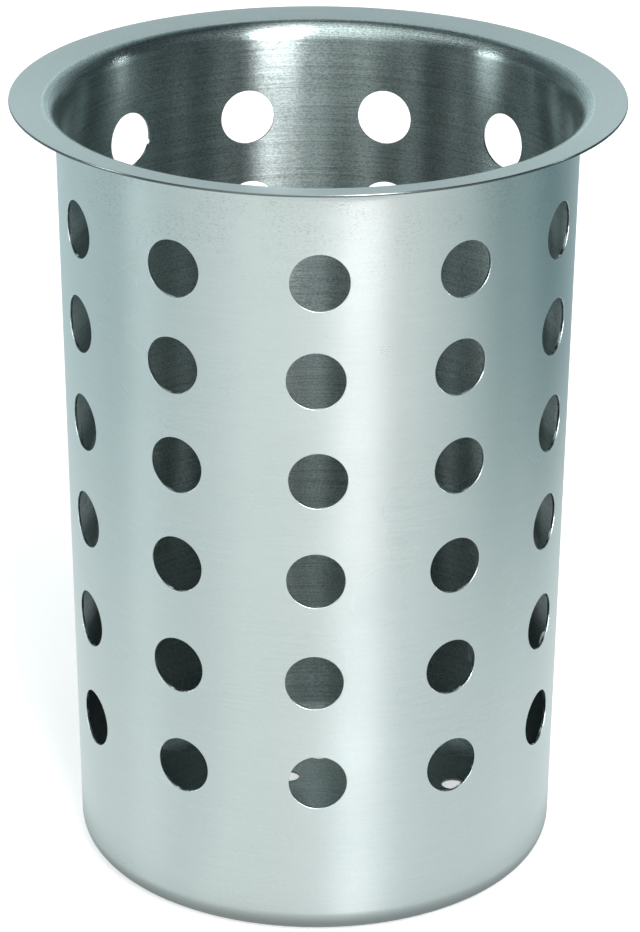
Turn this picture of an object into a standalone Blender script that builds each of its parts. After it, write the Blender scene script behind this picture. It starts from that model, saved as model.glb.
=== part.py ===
"""A cutlery holder pressed from one disc of stainless steel sheet, in metres, standing on Z = 0.

The disc is drawn into a slightly tapered cup, its edge is turned out into a flange,
and the wall and the base are pierced with round holes.
"""

import math

import bmesh
import bpy
from mathutils import Matrix

# The pressing. Diameters are over the outside of the sheet, and the two body
# diameters are read on the straight wall, carried on to the floor and the mouth.
SHEET = 0.0005
MOUTH_HEIGHT = 0.1532
MOUTH_DIAMETER = 0.0989
BASE_DIAMETER = 0.0933
BASE_RADIUS = 0.0055
MOUTH_RADIUS = 0.0028
FLANGE_WIDTH = 0.00855
FLANGE_RISE = 0.0008

# The wall holes: evenly spaced columns in rows that a rotary press pierces one
# after the other, so each row sits a little off the others' angle.
WALL_HOLE_DIAMETER = 0.0111
COLUMNS = 11
ROW_HEIGHT_SHARES = (0.8765, 0.753, 0.6245, 0.493, 0.356, 0.219)
ROW_TURN_DEGREES = (0.35, -0.35, 0.2, -0.2, -0.45, 0.45)

# The drain holes: three rings on the flat of the base.
DRAIN_HOLE_DIAMETER = 0.0046
DRAIN_RING_RADIUS_SHARES = (0.497, 0.722, 0.795)
DRAIN_RING_HOLES = (4, 4, 4)
DRAIN_RING_TURN_DEGREES = (15.5, -1.7, 30.0)

# How far a punch runs past the sheet on each side.
PUNCH_OVERRUN = 0.002

# Facets of the turned surface, its two radii and the punches.
TURN_STEPS = 88
BASE_RADIUS_STEPS = 6
MOUTH_RADIUS_STEPS = 5
WALL_PUNCH_SIDES = 20
DRAIN_PUNCH_SIDES = 14
SHARP_ANGLE = math.radians(35)

STEEL_COLOUR = (0.56, 0.60, 0.59, 1.0)
STEEL_ROUGHNESS = 0.32


def clear_scene():
    for obj in list(bpy.data.objects):
        bpy.data.objects.remove(obj)


def new_collection(name, hidden=False):
    collection = bpy.data.collections.new(name)
    collection.hide_render = hidden
    bpy.context.scene.collection.children.link(collection)
    return collection


def steel():
    material = bpy.data.materials.new("satin_steel")
    material.use_nodes = True
    shader = material.node_tree.nodes["Principled BSDF"]
    shader.inputs["Base Color"].default_value = STEEL_COLOUR
    shader.inputs["Metallic"].default_value = 1.0
    shader.inputs["Roughness"].default_value = STEEL_ROUGHNESS
    return material


def taper():
    """The wall's lean from upright, outwards to the top."""
    return math.atan2((MOUTH_DIAMETER - BASE_DIAMETER) / 2, MOUTH_HEIGHT)


def wall_radius(height):
    """The outside of the straight wall at this height."""
    return BASE_DIAMETER / 2 + height * math.tan(taper())


def base_flat_radius():
    """Where the flat of the base ends and its radius begins."""
    return BASE_DIAMETER / 2 - BASE_RADIUS * (1 - math.sin(taper())) / math.cos(taper())


def arc(centre, radius, first, last, steps):
    """Points (r, z) on an arc, both ends included."""
    angles = [first + (last - first) * step / steps for step in range(steps + 1)]
    return [(centre[0] + radius * math.cos(a), centre[1] + radius * math.sin(a)) for a in angles]


def outer_profile():
    """The outside of the sheet, from the flange's lip down the wall to the base's centre."""
    lean = taper()
    under_radius = MOUTH_RADIUS - SHEET
    turn_height = MOUTH_HEIGHT - MOUTH_RADIUS
    turn_centre = (wall_radius(turn_height) + under_radius / math.cos(lean), turn_height)
    flange_reach = MOUTH_DIAMETER / 2 + FLANGE_WIDTH - turn_centre[0]
    rise = math.atan2(FLANGE_RISE, flange_reach)

    under_turn = arc(turn_centre, under_radius, math.pi / 2 + rise, math.pi - lean, MOUTH_RADIUS_STEPS)
    root = under_turn[0]
    lip_radius = MOUTH_DIAMETER / 2 + FLANGE_WIDTH
    lip = (lip_radius, root[1] + (lip_radius - root[0]) * math.tan(rise))

    base_centre = (base_flat_radius(), BASE_RADIUS)
    base_turn = arc(base_centre, BASE_RADIUS, -lean, -math.pi / 2, BASE_RADIUS_STEPS)
    return [lip] + under_turn + base_turn + [(0.0, 0.0)]


def turned_sheet(name, profile, collection):
    """The profile turned about Z, then thickened inwards by the sheet."""
    mesh = bpy.data.meshes.new(name)
    points = [(r, 0.0, z) for r, z in profile]
    edges = [(i, i + 1) for i in range(len(points) - 1)]
    mesh.from_pydata(points, edges, [])
    obj = bpy.data.objects.new(name, mesh)
    collection.objects.link(obj)

    screw = obj.modifiers.new("turn", "SCREW")
    screw.axis = "Z"
    screw.steps = TURN_STEPS
    screw.render_steps = TURN_STEPS
    screw.use_merge_vertices = True
    screw.merge_threshold = 0.00001
    screw.use_smooth_shade = True

    wall = obj.modifiers.new("sheet", "SOLIDIFY")
    wall.thickness = SHEET
    wall.offset = -1.0
    wall.use_even_offset = True
    return obj


def punches(name, places, radius, length, sides, collection):
    """One cutter holding a cylinder at each place, each along its place's own Z."""
    mesh = bpy.data.meshes.new(name)
    shape = bmesh.new()
    for place in places:
        bmesh.ops.create_cone(
            shape,
            cap_ends=True,
            segments=sides,
            radius1=radius,
            radius2=radius,
            depth=length,
            matrix=place,
        )
    shape.to_mesh(mesh)
    shape.free()
    obj = bpy.data.objects.new(name, mesh)
    obj.hide_render = True
    obj.display_type = "WIRE"
    collection.objects.link(obj)
    return obj


def wall_places():
    """A place for each wall hole: mid-sheet, with its Z pointing out of the wall."""
    places = []
    for share, turn in zip(ROW_HEIGHT_SHARES, ROW_TURN_DEGREES):
        height = MOUTH_HEIGHT * share
        out = Matrix.Translation((wall_radius(height) - SHEET / 2, 0.0, height))
        along_x = Matrix.Rotation(math.pi / 2, 4, "Y")
        for column in range(COLUMNS):
            angle = math.radians(turn) - math.pi / 2 + column * 2 * math.pi / COLUMNS
            places.append(Matrix.Rotation(angle, 4, "Z") @ out @ along_x)
    return places


def drain_places():
    """A place for each drain hole, mid-sheet on the flat of the base."""
    places = []
    rings = zip(DRAIN_RING_RADIUS_SHARES, DRAIN_RING_HOLES, DRAIN_RING_TURN_DEGREES)
    for share, count, turn in rings:
        out = Matrix.Translation((base_flat_radius() * share, 0.0, SHEET / 2))
        for hole in range(count):
            angle = math.radians(turn) + hole * 2 * math.pi / count
            places.append(Matrix.Rotation(angle, 4, "Z") @ out)
    return places


def cut(obj, cutter):
    boolean = obj.modifiers.new(cutter.name, "BOOLEAN")
    boolean.operation = "DIFFERENCE"
    boolean.solver = "EXACT"
    boolean.object = cutter


def freeze(obj):
    """Turns the modified shape into the object's own mesh, smooth but for its real edges."""
    graph = bpy.context.evaluated_depsgraph_get()
    mesh = bpy.data.meshes.new_from_object(obj.evaluated_get(graph))
    mesh.name = obj.name
    obj.modifiers.clear()
    obj.data = mesh
    mesh.shade_smooth()
    mesh.set_sharp_from_angle(angle=SHARP_ANGLE)


def perforated_cup(parts, cutters):
    """The whole holder: it is one pressing."""
    cup = turned_sheet("perforated_cup", outer_profile(), parts)
    length = SHEET + 2 * PUNCH_OVERRUN
    wall_punches = punches(
        "wall_punches", wall_places(), WALL_HOLE_DIAMETER / 2, length, WALL_PUNCH_SIDES, cutters
    )
    drain_punches = punches(
        "drain_punches", drain_places(), DRAIN_HOLE_DIAMETER / 2, length, DRAIN_PUNCH_SIDES, cutters
    )
    cut(cup, wall_punches)
    cut(cup, drain_punches)
    freeze(cup)
    cup.data.materials.clear()
    cup.data.materials.append(steel())
    return cup


clear_scene()
perforated_cup(new_collection("cutlery_holder"), new_collection("punches", hidden=True))
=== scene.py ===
"""A perforated stainless steel cutlery holder on a plain pale floor, in soft studio light."""

import math

import bpy
from mathutils import Matrix, Vector


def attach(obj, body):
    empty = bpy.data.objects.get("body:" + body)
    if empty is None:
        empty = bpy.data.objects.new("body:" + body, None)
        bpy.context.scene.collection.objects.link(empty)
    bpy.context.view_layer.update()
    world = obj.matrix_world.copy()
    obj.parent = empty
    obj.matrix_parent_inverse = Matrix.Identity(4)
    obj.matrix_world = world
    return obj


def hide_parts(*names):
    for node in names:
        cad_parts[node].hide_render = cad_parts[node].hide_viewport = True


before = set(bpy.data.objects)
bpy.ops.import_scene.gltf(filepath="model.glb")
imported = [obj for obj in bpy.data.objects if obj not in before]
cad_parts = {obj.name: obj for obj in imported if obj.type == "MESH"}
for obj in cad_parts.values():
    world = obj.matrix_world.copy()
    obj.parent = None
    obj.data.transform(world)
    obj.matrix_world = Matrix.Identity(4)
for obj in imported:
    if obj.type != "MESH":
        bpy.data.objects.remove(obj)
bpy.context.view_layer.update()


# The photograph's camera: a long lens a little under 0.8 m away, looking down
# at 22.9 degrees, with the body's middle near the middle of the picture.
IMAGE_HEIGHT_PIXELS = 932
FOCAL_PIXELS = 4026.0
SENSOR_MM = 36.0
CAMERA_DISTANCE = 0.78356
CAMERA_ELEVATION = math.radians(22.918)
CAMERA_ROLL = math.radians(0.298)
CAMERA_TURN = math.radians(-0.247)
AIM = Vector((0.000683, 0.0, 0.078325))

forward = Vector((0.0, math.cos(CAMERA_ELEVATION), -math.sin(CAMERA_ELEVATION)))
level_right = Vector((1.0, 0.0, 0.0))
level_up = Vector((0.0, math.sin(CAMERA_ELEVATION), math.cos(CAMERA_ELEVATION)))
right = level_right * math.cos(CAMERA_ROLL) + level_up * math.sin(CAMERA_ROLL)
up = level_up * math.cos(CAMERA_ROLL) - level_right * math.sin(CAMERA_ROLL)
stand = Matrix((right, up, -forward)).transposed().to_4x4()
stand.translation = AIM - forward * CAMERA_DISTANCE

lens = bpy.data.cameras.new("camera")
lens.sensor_width = SENSOR_MM
lens.lens = FOCAL_PIXELS * SENSOR_MM / IMAGE_HEIGHT_PIXELS
camera = bpy.data.objects.new("camera", lens)
camera.matrix_world = Matrix.Rotation(CAMERA_TURN, 4, "Z") @ stand
bpy.context.scene.collection.objects.link(camera)
bpy.context.scene.camera = camera
bpy.context.scene.view_settings.view_transform = "Standard"


# The floor and the studio round it: a pale table under the holder, and a tent of pale
# cloth with lamps behind it and dark gaps between them, which light the holder and
# which its steel mirrors. The camera itself sees plain white behind the holder.
class Value:
    """A shader value that takes part in sums: each operator adds one Math node."""

    def __init__(self, tree, socket):
        self.tree = tree
        self.socket = socket

    def maths(self, operation, *others, turned=False):
        node = self.tree.nodes.new("ShaderNodeMath")
        node.operation = operation
        values = [self, *others]
        if turned:
            values.reverse()
        for socket, value in zip(node.inputs, values):
            if isinstance(value, Value):
                self.tree.links.new(value.socket, socket)
            else:
                socket.default_value = value
        return Value(self.tree, node.outputs[0])

    def __add__(self, other):
        return self.maths("ADD", other)

    def __radd__(self, other):
        return self.maths("ADD", other)

    def __sub__(self, other):
        return self.maths("SUBTRACT", other)

    def __rsub__(self, other):
        return self.maths("SUBTRACT", other, turned=True)

    def __mul__(self, other):
        return self.maths("MULTIPLY", other)

    def __rmul__(self, other):
        return self.maths("MULTIPLY", other)

    def __truediv__(self, other):
        return self.maths("DIVIDE", other)

    def __pow__(self, other):
        return self.maths("POWER", other)


class Nodes:
    """One node tree, and the one way that its nodes are added."""

    def __init__(self, tree):
        self.tree = tree

    def add(self, kind, settings=None, output=0, **values):
        """Adds a node. A value goes to the socket of its name, or _0, _1 to one by its place."""
        node = self.tree.nodes.new("ShaderNode" + kind)
        for name, setting in (settings or {}).items():
            if name == "stops":
                ramp = node.color_ramp
                while len(ramp.elements) < len(setting):
                    ramp.elements.new(0.5)
                for element, (position, colour) in zip(ramp.elements, setting):
                    element.position = position
                    element.color = colour
            else:
                setattr(node, name, setting)
        for name, value in values.items():
            socket = node.inputs[int(name[1:]) if name[0] == "_" else name.replace("_", " ")]
            if isinstance(value, Value):
                self.tree.links.new(value.socket, socket)
            else:
                socket.default_value = value
        return Value(self.tree, node.outputs[output])

    def show(self, value, kind):
        """Links a shader to the output of a material or a world."""
        output = self.tree.nodes.new("ShaderNodeOutput" + kind)
        self.tree.links.new(value.socket, output.inputs["Surface"])


def new_material(name):
    """A material with no nodes yet, and its tree."""
    material = bpy.data.materials.new(name)
    material.use_nodes = True
    material.node_tree.nodes.clear()
    return material, Nodes(material.node_tree)


def axes(nodes, vector):
    """A vector's x, y and z."""
    split = nodes.add("SeparateXYZ", _0=vector).socket.node
    return [Value(nodes.tree, output) for output in split.outputs]


def fade(nodes, value, first, last, least=0.0, most=1.0):
    """A smooth change from least, where the value is first, to most, where it is last."""
    smooth = {"interpolation_type": "SMOOTHSTEP"}
    return nodes.add("MapRange", smooth, _0=value, _1=first, _2=last, _3=least, _4=most)


def blend(nodes, share, under, over):
    """One colour over another, by its share."""
    return nodes.add("Mix", {"data_type": "RGBA"}, output=2, _0=share, _6=under, _7=over)


# The tent's colours, by degrees from the camera's side, plus to the right. ROOM is the
# table and the lower walls. The rings above it have the key lamp at 10 to 27 degrees
# and, in LOW, one narrow lamp on each side, which draw the light lines down the steel.
ROOM = (
    (-180.0, (0.62, 0.78, 0.79, 1.0)),
    (-112.0, (0.60, 0.75, 0.77, 1.0)),
    (-91.0, (0.50, 0.64, 0.66, 1.0)),
    (-68.0, (0.68, 0.81, 0.82, 1.0)),
    (-30.0, (0.95, 1.05, 1.03, 1.0)),
    (5.0, (0.86, 0.93, 0.91, 1.0)),
    (14.0, (0.70, 0.73, 0.73, 1.0)),
    (28.0, (0.72, 0.76, 0.76, 1.0)),
    (42.0, (0.86, 0.96, 0.94, 1.0)),
    (62.0, (0.65, 0.77, 0.77, 1.0)),
    (85.0, (0.29, 0.42, 0.43, 1.0)),
    (120.0, (0.20, 0.31, 0.33, 1.0)),
    (150.0, (0.38, 0.50, 0.52, 1.0)),
    (180.0, (0.62, 0.78, 0.79, 1.0)),
)
LOW = (
    (-180.0, (0.70, 0.87, 0.89, 1.0)),
    (-166.0, (0.60, 0.75, 0.77, 1.0)),
    (-150.0, (0.36, 0.45, 0.46, 1.0)),
    (-124.0, (0.22, 0.28, 0.30, 1.0)),
    (-96.0, (0.46, 0.57, 0.57, 1.0)),
    (-90.0, (1.10, 1.25, 1.25, 1.0)),
    (-84.0, (15.0, 16.5, 16.5, 1.0)),
    (-77.0, (15.0, 16.5, 16.5, 1.0)),
    (-75.0, (0.04, 0.05, 0.06, 1.0)),
    (-50.0, (0.03, 0.04, 0.05, 1.0)),
    (-46.0, (0.42, 0.50, 0.50, 1.0)),
    (-34.0, (0.80, 0.92, 0.92, 1.0)),
    (-20.0, (1.5, 1.65, 1.62, 1.0)),
    (8.5, (1.8, 1.95, 1.90, 1.0)),
    (10.5, (23.0, 23.0, 23.0, 1.0)),
    (27.0, (23.0, 23.0, 23.0, 1.0)),
    (29.0, (0.70, 0.78, 0.80, 1.0)),
    (46.0, (0.08, 0.11, 0.12, 1.0)),
    (94.0, (0.03, 0.04, 0.05, 1.0)),
    (96.0, (12.0, 13.0, 13.0, 1.0)),
    (98.5, (12.0, 13.0, 13.0, 1.0)),
    (100.5, (0.04, 0.06, 0.07, 1.0)),
    (130.0, (0.08, 0.11, 0.12, 1.0)),
    (150.0, (0.36, 0.45, 0.46, 1.0)),
    (166.0, (0.60, 0.75, 0.77, 1.0)),
    (180.0, (0.70, 0.87, 0.89, 1.0)),
)
MIDDLE = (
    (-180.0, (1.02, 1.23, 1.25, 1.0)),
    (-166.0, (0.60, 0.75, 0.77, 1.0)),
    (-150.0, (0.30, 0.37, 0.38, 1.0)),
    (-124.0, (0.10, 0.13, 0.14, 1.0)),
    (-60.0, (0.10, 0.13, 0.14, 1.0)),
    (-46.0, (0.30, 0.36, 0.36, 1.0)),
    (-34.0, (1.0, 1.15, 1.15, 1.0)),
    (-20.0, (2.0, 2.2, 2.15, 1.0)),
    (8.5, (2.3, 2.5, 2.45, 1.0)),
    (10.5, (9.5, 9.5, 9.5, 1.0)),
    (26.5, (9.5, 9.5, 9.5, 1.0)),
    (28.5, (0.70, 0.78, 0.80, 1.0)),
    (46.0, (0.10, 0.13, 0.14, 1.0)),
    (130.0, (0.10, 0.13, 0.14, 1.0)),
    (150.0, (0.30, 0.37, 0.38, 1.0)),
    (166.0, (0.60, 0.75, 0.77, 1.0)),
    (180.0, (1.02, 1.23, 1.25, 1.0)),
)
HIGH = (
    (-180.0, (0.03, 0.04, 0.05, 1.0)),
    (-140.0, (0.05, 0.07, 0.08, 1.0)),
    (-110.0, (0.36, 0.42, 0.42, 1.0)),
    (-85.0, (0.95, 1.05, 1.05, 1.0)),
    (-50.0, (1.25, 1.4, 1.4, 1.0)),
    (-20.0, (2.1, 2.3, 2.25, 1.0)),
    (5.0, (2.3, 2.5, 2.5, 1.0)),
    (10.0, (4.5, 4.5, 4.5, 1.0)),
    (28.0, (4.5, 4.5, 4.5, 1.0)),
    (34.0, (1.0, 1.1, 1.1, 1.0)),
    (60.0, (0.30, 0.35, 0.36, 1.0)),
    (95.0, (0.12, 0.15, 0.16, 1.0)),
    (140.0, (0.05, 0.07, 0.08, 1.0)),
    (180.0, (0.03, 0.04, 0.05, 1.0)),
)
ZENITH = (1.0, 1.1, 1.1, 1.0)
WHITE = (1.0, 1.0, 1.0, 1.0)


def room_colour(nodes, x, y, ring):
    """The room's colour in the direction (x, y), from a ring of colours by degrees."""
    turn = nodes.add("Math", {"operation": "ARCTAN2"}, _0=x, _1=-1.0 * y)
    stops = [((degrees + 180.0) / 360.0, colour) for degrees, colour in ring]
    return nodes.add("ValToRGB", {"stops": stops}, Fac=turn / math.tau + 0.5)


# The floor. The camera sees it brightened to near white, with the holder's shadow, and
# the steel mirrors it as a glowing pale table, with a painted shadow close round the base,
# taking on the room's colours further out. Each reach is a pair of distances from the middle.
FLOOR_SIZE = 6.0
FLOOR_COLOUR = (0.87, 0.80, 0.80, 1.0)
FLOOR_GLOW_COLOUR = (0.95, 1.0, 1.0, 1.0)
FLOOR_GLOW = 0.42
TABLE_PALEST = (0.85, 0.95, 0.95)
TABLE_REACH = (0.10, 0.34)
CONTACT_SHADOW_REACH = (0.044, 0.058)
CONTACT_SHADOW_SHARE = 0.35

bpy.ops.object.select_all(action="DESELECT")
bpy.ops.mesh.primitive_plane_add(size=FLOOR_SIZE, location=(0.0, 0.0, 0.0))
floor = bpy.context.object
floor.name = "floor"

paper, nodes = new_material("floor_paper")
x, y = axes(nodes, nodes.add("TexCoord", output=3))[:2]
away = (x * x + y * y) ** 0.5
room = room_colour(nodes, x, y, ROOM)
pale = nodes.add("VectorMath", {"operation": "MAXIMUM"}, _0=room, _1=TABLE_PALEST)
table = blend(nodes, fade(nodes, away, *TABLE_REACH), pale, room)
# Close round the base the mirrored glow is dimmed: a painted shadow under the holder.
outside_painted_shadow = fade(nodes, away, *CONTACT_SHADOW_REACH, least=CONTACT_SHADOW_SHARE)
mirrored = nodes.add("Emission", Color=table, Strength=outside_painted_shadow)
lit = nodes.add("BsdfDiffuse", Color=FLOOR_COLOUR)
glow = nodes.add("Emission", Color=FLOOR_GLOW_COLOUR, Strength=FLOOR_GLOW)
brightened = nodes.add("AddShader", _0=lit, _1=glow)
to_camera = nodes.add("LightPath", output=0)
to_mirror = nodes.add("LightPath", output=3)
shown = nodes.add("MixShader", _0=to_camera, _1=lit, _2=brightened)
nodes.show(nodes.add("MixShader", _0=to_mirror, _1=shown, _2=mirrored), "Material")
floor.data.materials.append(paper)

# The tent. Each ring takes over from the one below it between two heights, given as the
# sine of the angle above level. Behind the holder the high ring begins a little higher.
LOW_EDGE = (0.0, 0.05)
MIDDLE_EDGE = (0.10, 0.24)
HIGH_EDGE = (0.50, 0.62)
ZENITH_EDGE = (0.955, 0.995)
BEHIND_EDGE = (-0.55, -0.95)
BEHIND_LIFT = 0.15
POLE_GUARD = 0.0001

world = bpy.data.worlds.new("studio")
bpy.context.scene.world = world
world.use_nodes = True
world.node_tree.nodes.clear()
nodes = Nodes(world.node_tree)
x, y, height = axes(nodes, nodes.add("TexCoord", output=0))
facing = -1.0 * y / (x * x + y * y + POLE_GUARD) ** 0.5
behind = fade(nodes, facing, *BEHIND_EDGE)
tent = room_colour(nodes, x, y, ROOM)
for level, edge, ring in (
    (height, LOW_EDGE, LOW),
    (height, MIDDLE_EDGE, MIDDLE),
    (height - behind * BEHIND_LIFT, HIGH_EDGE, HIGH),
):
    tent = blend(nodes, fade(nodes, level, *edge), tent, room_colour(nodes, x, y, ring))
tent = blend(nodes, fade(nodes, height, *ZENITH_EDGE), tent, ZENITH)
cloth = nodes.add("Background", Color=tent)
backdrop = nodes.add("Background", Color=WHITE)
to_camera = nodes.add("LightPath", output=0)
nodes.show(nodes.add("MixShader", _0=to_camera, _1=cloth, _2=backdrop), "World")

# The key lamp, in front, above and to the right, which casts the soft shadow.
# Its azimuth runs from the camera's side to the right.
KEY_AZIMUTH = math.radians(20.0)
KEY_ELEVATION = math.radians(40.0)
KEY_DISTANCE = 1.6
KEY_SIZE = 0.6
KEY_WATTS = 8.0
KEY_AIM = Vector((0.0, 0.0, 0.08))

to_key = Vector(
    (
        math.sin(KEY_AZIMUTH) * math.cos(KEY_ELEVATION),
        -math.cos(KEY_AZIMUTH) * math.cos(KEY_ELEVATION),
        math.sin(KEY_ELEVATION),
    )
)
lamp = bpy.data.lights.new("key", "AREA")
lamp.size = KEY_SIZE
lamp.energy = KEY_WATTS
key = bpy.data.objects.new("key", lamp)
key.location = KEY_AIM + to_key * KEY_DISTANCE
key.rotation_euler = to_key.to_track_quat("Z", "Y").to_euler()
key.visible_camera = False
bpy.context.scene.collection.objects.link(key)


# The pressing: one disc of 0.5 mm stainless steel sheet, drawn into a slightly
# tapered cup, its edge turned out into a flange that rises a little to the lip.
# The outside is ground satin, and the inside keeps coarser lines round the turn.
SHEET = 0.0005
MOUTH_HEIGHT = 0.1532
MOUTH_DIAMETER = 0.0989
BASE_DIAMETER = 0.0933
BASE_RADIUS = 0.0055
FLANGE_RISE = 0.0008
# The rim's dark and light lines need a mouth radius larger than the solids' 2.8 mm,
# and the flange is 0.01 mm narrower than theirs, to stay inside their box.
MOUTH_RADIUS = 0.0036
FLANGE_WIDTH = 0.00854
LIP_ROUNDING = 0.00014
LIP_ROUNDING_STEPS = 3
LIP_ANGLE = math.radians(60)

AROUND = 264
BASE_TURN_STEPS = 14
WALL_RINGS = 12
MOUTH_TURN_STEPS = 12
FLANGE_RINGS = 4
SHARP_ANGLE = math.radians(24)

lean = math.atan2((MOUTH_DIAMETER - BASE_DIAMETER) / 2, MOUTH_HEIGHT)
flat_radius = BASE_DIAMETER / 2 - BASE_RADIUS * (1 - math.sin(lean)) / math.cos(lean)


def wall_radius(height):
    """The outside of the straight wall at a height."""
    return BASE_DIAMETER / 2 + height * math.tan(lean)


def arc(centre, radius, first, last, steps):
    """Points (r, z) on an arc, both ends included."""
    angles = [first + (last - first) * step / steps for step in range(steps + 1)]
    return [(centre[0] + radius * math.cos(a), centre[1] + radius * math.sin(a)) for a in angles]


def straight(first, last, steps):
    """Points (r, z) on a straight line, its first end left out."""
    shares = [step / steps for step in range(1, steps + 1)]
    return [tuple(a + (b - a) * share for a, b in zip(first, last)) for share in shares]


def select_only(obj):
    bpy.ops.object.select_all(action="DESELECT")
    obj.select_set(True)
    bpy.context.view_layer.objects.active = obj


base_turn = arc((flat_radius, BASE_RADIUS), BASE_RADIUS, -math.pi / 2, -lean, BASE_TURN_STEPS)
under_radius = MOUTH_RADIUS - SHEET
turn_height = MOUTH_HEIGHT - MOUTH_RADIUS
turn_centre = (wall_radius(turn_height) + under_radius / math.cos(lean), turn_height)
lip_radius = MOUTH_DIAMETER / 2 + FLANGE_WIDTH
flange_slope = math.atan2(FLANGE_RISE, lip_radius - turn_centre[0])
turn_end = math.pi / 2 + flange_slope
mouth_turn = arc(turn_centre, under_radius, math.pi - lean, turn_end, MOUTH_TURN_STEPS)
root = mouth_turn[-1]
lip_point = (lip_radius, root[1] + (lip_radius - root[0]) * math.tan(flange_slope))
wall = straight(base_turn[-1], mouth_turn[0], WALL_RINGS)
flange = straight(root, lip_point, FLANGE_RINGS)
profile = base_turn[1:] + wall + mouth_turn[1:] + flange

bpy.ops.object.select_all(action="DESELECT")
bpy.ops.mesh.primitive_circle_add(
    vertices=AROUND, radius=flat_radius, fill_type="NGON", location=(0.0, 0.0, 0.0)
)
cup = bpy.context.object
cup.name = "steel_cup"
bpy.ops.object.mode_set(mode="EDIT")
bpy.ops.mesh.select_mode(type="EDGE")
bpy.ops.mesh.select_all(action="SELECT")
# Only the disc's rim is drawn up for the first ring, so that the disc stays as the base.
draw_up = bpy.ops.mesh.extrude_edges_move
last_radius, last_height = flat_radius, 0.0
for radius, height in profile:
    draw_up(TRANSFORM_OT_translate={"value": (0.0, 0.0, height - last_height)})
    share = radius / last_radius
    bpy.ops.transform.resize(value=(share, share, 1.0), center_override=(0.0, 0.0, height))
    last_radius, last_height = radius, height
    draw_up = bpy.ops.mesh.extrude_region_move
bpy.ops.mesh.select_all(action="SELECT")
bpy.ops.mesh.normals_make_consistent(inside=False)
bpy.ops.object.mode_set(mode="OBJECT")
base = min(cup.data.polygons, key=lambda face: abs(face.center.z))
if base.normal.z > 0:
    cup.data.flip_normals()

# The steel's finishes. The lines and the grain between them are noise drawn out round
# the holder's axis. The mottle is the band of fine marks that drawing leaves below the
# flange, on the outside, and the polish is where the tool has burnished the mouth.
SHORT_LINE_PITCH = 0.45
SHORT_LINE_LENGTH = 0.3
LINE_SHARE = 0.6
LINE_DEPTH = 0.00006
GRAIN_SIZE = 0.0003
GRAIN_LENGTH = GRAIN_SIZE * 1.6
GRAIN_DEPTH = 0.000008
CLOUD_SIZE = 0.025
CLOUD_TONE = 0.05
CLOUD_ROUGHNESS = 0.06
MOTTLE_HEIGHTS = (0.126, 0.146)
MOTTLE_PATCH_SIZE = 0.008
MOTTLE_PATCH_EDGE = (0.3, 0.6)
PIT_PITCH = 0.00024
PIT_LENGTH = 0.0005
PIT_EDGE = (0.53, 0.72)
MOUTH_PAINTED_LIGHT = 0.15
QUARTER_TURN = 0.25
LIP_SHADE_COLOUR = (0.15, 0.165, 0.17, 1.0)
LIP_ROUGHNESS = 0.2


def turned_lines(nodes, where, pitch, length):
    """Noise drawn out round Z into lines, which turn into rings on the base and the flange."""
    x, y, z = axes(nodes, where)
    across = (x * x + y * y) ** 0.5 + z
    line = nodes.add("CombineXYZ", _0=x / length, _1=y / length, _2=across / pitch)
    return nodes.add("TexNoise", Vector=line, Scale=1.0, Detail=1.0)


def ground_steel(
    name, colour, roughness, stretch, pitch, length, line, speck, mottle=0.0, polish=0.0
):
    """Steel ground round and round, so that it spreads each light up and down.

    Stretch is how far the shine is drawn out across the lines, and pitch and length are
    the lines' own. Line, speck and mottle are how strongly the lines, the grain and the
    draw marks show, and polish is the roughness that the mouth's burnishing takes off.
    """
    material, nodes = new_material(name)
    where = nodes.add("TexCoord", output=3)
    height = axes(nodes, where)[2]
    long_lines = turned_lines(nodes, where, pitch, length) - 0.5
    short_pitch, short_length = pitch * SHORT_LINE_PITCH, length * SHORT_LINE_LENGTH
    short_lines = turned_lines(nodes, where, short_pitch, short_length) - 0.5
    grain = turned_lines(nodes, where, GRAIN_SIZE, GRAIN_LENGTH) - 0.5
    cloud = nodes.add("TexNoise", Vector=where, Scale=1.0 / CLOUD_SIZE, Detail=2.0) - 0.5
    lines = long_lines * LINE_SHARE + short_lines * LINE_SHARE
    shade = 1.0 + lines * (2.0 * line) + grain * (2.0 * speck) + cloud * CLOUD_TONE
    if mottle:
        band = fade(nodes, height, *MOTTLE_HEIGHTS)
        patches = nodes.add("TexNoise", Vector=where, Scale=1.0 / MOTTLE_PATCH_SIZE, Detail=2.0)
        patches = fade(nodes, patches, *MOTTLE_PATCH_EDGE)
        pits = fade(nodes, turned_lines(nodes, where, PIT_PITCH, PIT_LENGTH), *PIT_EDGE)
        shade = shade - pits * band * patches * mottle
    if polish:
        # Towards the mouth the burnished steel is smoother, and its colour is lightened there:
        # painted light on the mouth radius.
        burnished = fade(nodes, height, turn_height, MOUTH_HEIGHT)
        roughness = roughness - burnished * polish
        shade = shade * (1.0 + burnished * MOUTH_PAINTED_LIGHT)
    tone = nodes.add("VectorMath", {"operation": "SCALE"}, _0=colour, Scale=shade)
    relief = lines * (LINE_DEPTH * line) + grain * (GRAIN_DEPTH * speck)
    steel = nodes.add(
        "BsdfPrincipled",
        Base_Color=tone,
        Metallic=1.0,
        Roughness=cloud * CLOUD_ROUGHNESS + roughness,
        Normal=nodes.add("Bump", Height=relief, Strength=1.0, Distance=1.0),
        Anisotropic=stretch,
        Anisotropic_Rotation=QUARTER_TURN,
    )
    nodes.show(steel, "Material")
    return material


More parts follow.
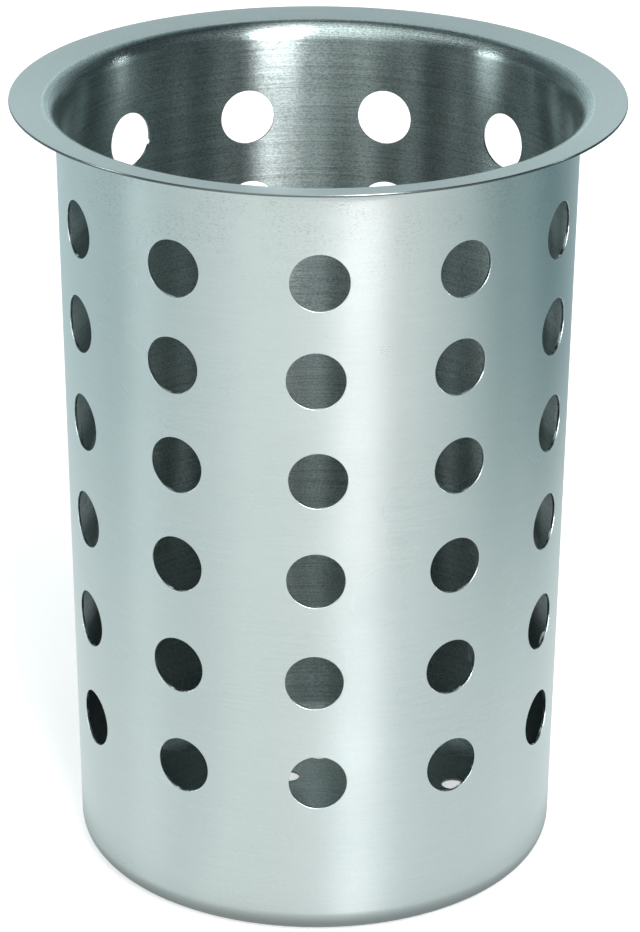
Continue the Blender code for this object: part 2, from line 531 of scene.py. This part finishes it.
satin_outside = ground_steel(
    "satin_outside",
    colour=(0.60, 0.635, 0.63),
    roughness=0.28,
    stretch=0.7,
    pitch=0.0005,
    length=0.012,
    line=0.05,
    speck=0.05,
    mottle=0.22,
)
# The inside is coloured about half as light as the outside: painted shade inside the cup. Its
# coarser lines are the steel's own.
shaded_ground_inside = ground_steel(
    "shaded_ground_inside",
    colour=(0.31, 0.355, 0.35),
    roughness=0.28,
    stretch=1.0,
    pitch=0.0003,
    length=0.03,
    line=0.5,
    speck=0.6,
    polish=0.11,
)
flange_top = ground_steel(
    "flange_top",
    colour=(0.375, 0.40, 0.40),
    roughness=0.30,
    stretch=0.3,
    pitch=0.0004,
    length=0.006,
    line=0.08,
    speck=0.12,
)
# The lip is coloured near black: a painted shade, the dark line along the flange's edge.
shaded_lip_edge, nodes = new_material("shaded_lip_edge")
trimmed = nodes.add("BsdfPrincipled", Base_Color=LIP_SHADE_COLOUR, Metallic=1.0, Roughness=LIP_ROUGHNESS)
nodes.show(trimmed, "Material")
for finish in (satin_outside, shaded_ground_inside, flange_top, shaded_lip_edge):
    cup.data.materials.append(finish)
INSIDE, FLANGE, LIP = 1, 2, 3

# The sheet gets its thickness, its trimmed lip is rounded, and the faces of the inside
# that lie beyond the mouth radius are the flange's top.
sheet = cup.modifiers.new("sheet", "SOLIDIFY")
sheet.thickness = SHEET
sheet.offset = -1.0
sheet.use_even_offset = True
sheet.material_offset = INSIDE
sheet.material_offset_rim = LIP
bpy.ops.object.modifier_apply(modifier=sheet.name)
rounding = cup.modifiers.new("rounding", "BEVEL")
rounding.width = LIP_ROUNDING
rounding.segments = LIP_ROUNDING_STEPS
rounding.limit_method = "ANGLE"
rounding.angle_limit = LIP_ANGLE
bpy.ops.object.modifier_apply(modifier=rounding.name)
for face in cup.data.polygons:
    if face.material_index == INSIDE and face.center.to_2d().length > root[0]:
        face.material_index = FLANGE


# The holes: eleven columns in six rows, pierced row by row on a turning jig, and three
# rings of drain holes in the base. Each has a burnished wall coloured dark, a painted
# shade, and the punch has rolled the sheet's outer edge over a little, where a thin
# bright line is painted as a highlight.
WALL_HOLE_DIAMETER = 0.0111
COLUMNS = 11
ROW_HEIGHT_SHARES = (0.8765, 0.753, 0.6245, 0.493, 0.356, 0.219)
ROW_TURN_DEGREES = (0.35, -0.35, 0.2, -0.2, -0.45, 0.45)
DRAIN_HOLE_DIAMETER = 0.0046
# Each drain ring: its share of the flat's radius, its holes and its turn in degrees.
DRAIN_RINGS = ((0.497, 4, 15.5), (0.722, 4, -1.7), (0.795, 4, 30.0))
PUNCH_OVERRUN = 0.002
WALL_PUNCH_SIDES = 72
DRAIN_PUNCH_SIDES = 48
# The rolled edge, as rises along the punch with how far each widens it: two in the
# sheet, which widen a hole's radius by about ROLLED_EDGE, and one just above it.
ROLLED_EDGE = 0.00008
ROLL_IN_SHEET = ((0.00005, 0.000024), (0.00003, 0.000052))
ROLL_ABOVE = (0.00003, 0.000052)
CUT_SHADE_COLOUR = (0.24, 0.27, 0.275, 1.0)
ROLLED_HIGHLIGHT_COLOUR = (0.72, 0.78, 0.78, 1.0)
ROLLED_DEPTHS = (0.00018, 0.00010)
CUT_ROUGHNESS = 0.16
ROLLED_ROUGHNESS = 0.1
TORN_SIZE = 0.002
TORN_CONTRAST = 1.6
TORN_LOSS = 0.1

cut_edge, nodes = new_material("cut_edge")
where = nodes.add("TexCoord", output=3)
x, y, z = axes(nodes, where)
below_wall = BASE_DIAMETER / 2 + z * math.tan(lean) - (x * x + y * y) ** 0.5
depth = below_wall.maths("MINIMUM", z)
torn = nodes.add("TexNoise", Vector=where, Scale=1.0 / TORN_SIZE, Detail=1.0)
# The cut wall's dark colour is painted shade; the bright line along the rolled edge, broken up by
# the torn noise, is a painted highlight.
rolled = fade(nodes, depth, *ROLLED_DEPTHS)
painted_highlight = rolled * (torn * TORN_CONTRAST - TORN_LOSS)
shade_and_highlight_tone = blend(nodes, painted_highlight, CUT_SHADE_COLOUR, ROLLED_HIGHLIGHT_COLOUR)
cut = nodes.add(
    "BsdfPrincipled",
    Base_Color=shade_and_highlight_tone,
    Metallic=1.0,
    Roughness=CUT_ROUGHNESS + rolled * ROLLED_ROUGHNESS,
)
nodes.show(cut, "Material")


def punch(name, radius, sides, bend=0.0):
    """A round punch along Z, centred in the sheet, that widens where the outer edge rolls over.

    Bend is the radius of the wall that it cuts, which its rings follow, and 0 on the flat.
    """
    bpy.ops.object.select_all(action="DESELECT")
    bpy.ops.mesh.primitive_circle_add(
        vertices=sides, radius=radius, fill_type="NGON", location=(0.0, 0.0, 0.0)
    )
    tool = bpy.context.object
    tool.name = name
    bpy.ops.object.mode_set(mode="EDIT")
    bpy.ops.mesh.select_mode(type="FACE")
    bpy.ops.mesh.select_all(action="SELECT")
    level = -SHEET / 2 - PUNCH_OVERRUN
    bpy.ops.transform.translate(value=(0.0, 0.0, level))
    rolled_depth = sum(rise for rise, widening in ROLL_IN_SHEET)
    plain = (SHEET + PUNCH_OVERRUN - rolled_depth, 0.0)
    reach = radius
    for rise, widening in (plain, *ROLL_IN_SHEET, ROLL_ABOVE, (PUNCH_OVERRUN, 0.0)):
        bpy.ops.mesh.extrude_region_move(TRANSFORM_OT_translate={"value": (0.0, 0.0, rise)})
        level += rise
        share = (reach + widening) / reach
        bpy.ops.transform.resize(value=(share, share, 1.0), center_override=(0.0, 0.0, level))
        reach += widening
    bpy.ops.mesh.select_all(action="SELECT")
    bpy.ops.mesh.normals_make_consistent(inside=False)
    bpy.ops.object.mode_set(mode="OBJECT")
    if bend:
        for point in tool.data.vertices:
            sagitta = bend - math.sqrt(bend * bend - point.co.y * point.co.y)
            point.co.z -= sagitta + point.co.x * math.tan(lean)
    tool.data.materials.append(cut_edge)
    return tool


def pierce(tool, places):
    """Copies the punch to each place, and cuts them all from the cup."""
    bpy.ops.object.select_all(action="DESELECT")
    for at in places:
        copy = tool.copy()
        copy.data = tool.data.copy()
        copy.matrix_world = at
        bpy.context.scene.collection.objects.link(copy)
        copy.select_set(True)
        bpy.context.view_layer.objects.active = copy
    bpy.ops.object.join()
    tools = bpy.context.object
    holes = cup.modifiers.new("holes", "BOOLEAN")
    holes.operation = "DIFFERENCE"
    holes.solver = "EXACT"
    holes.material_mode = "TRANSFER"
    holes.object = tools
    select_only(cup)
    bpy.ops.object.modifier_apply(modifier=holes.name)
    bpy.data.objects.remove(tools)
    bpy.data.objects.remove(tool)


outwards = Matrix.Rotation(math.pi / 2, 4, "Y")
downwards = Matrix.Rotation(math.pi, 4, "Y")
wall_places = []
for share, turn in zip(ROW_HEIGHT_SHARES, ROW_TURN_DEGREES):
    height = MOUTH_HEIGHT * share
    out = Matrix.Translation((wall_radius(height) - SHEET / 2, 0.0, height))
    for column in range(COLUMNS):
        angle = math.radians(turn) - math.pi / 2 + column * math.tau / COLUMNS
        wall_places.append(Matrix.Rotation(angle, 4, "Z") @ out @ outwards)
drain_places = []
for share, count, turn in DRAIN_RINGS:
    out = Matrix.Translation((flat_radius * share, 0.0, SHEET / 2))
    for hole in range(count):
        angle = math.radians(turn) + hole * math.tau / count
        drain_places.append(Matrix.Rotation(angle, 4, "Z") @ out @ downwards)
wall_punch = punch(
    "wall_punch",
    WALL_HOLE_DIAMETER / 2 - ROLLED_EDGE,
    WALL_PUNCH_SIDES,
    bend=wall_radius(MOUTH_HEIGHT / 2),
)
pierce(wall_punch, wall_places)
pierce(punch("drain_punch", DRAIN_HOLE_DIAMETER / 2, DRAIN_PUNCH_SIDES), drain_places)

# The finished pressing is smooth but for its real edges, and its large faces set the
# shading, so that the slivers left beside the holes don't show.
select_only(cup)
bpy.ops.object.shade_smooth_by_angle(angle=SHARP_ANGLE)
weighted = cup.modifiers.new("weighted_normals", "WEIGHTED_NORMAL")
weighted.keep_sharp = True
bpy.ops.object.modifier_apply(modifier=weighted.name)

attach(cup, "root")
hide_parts("perforated_cup")
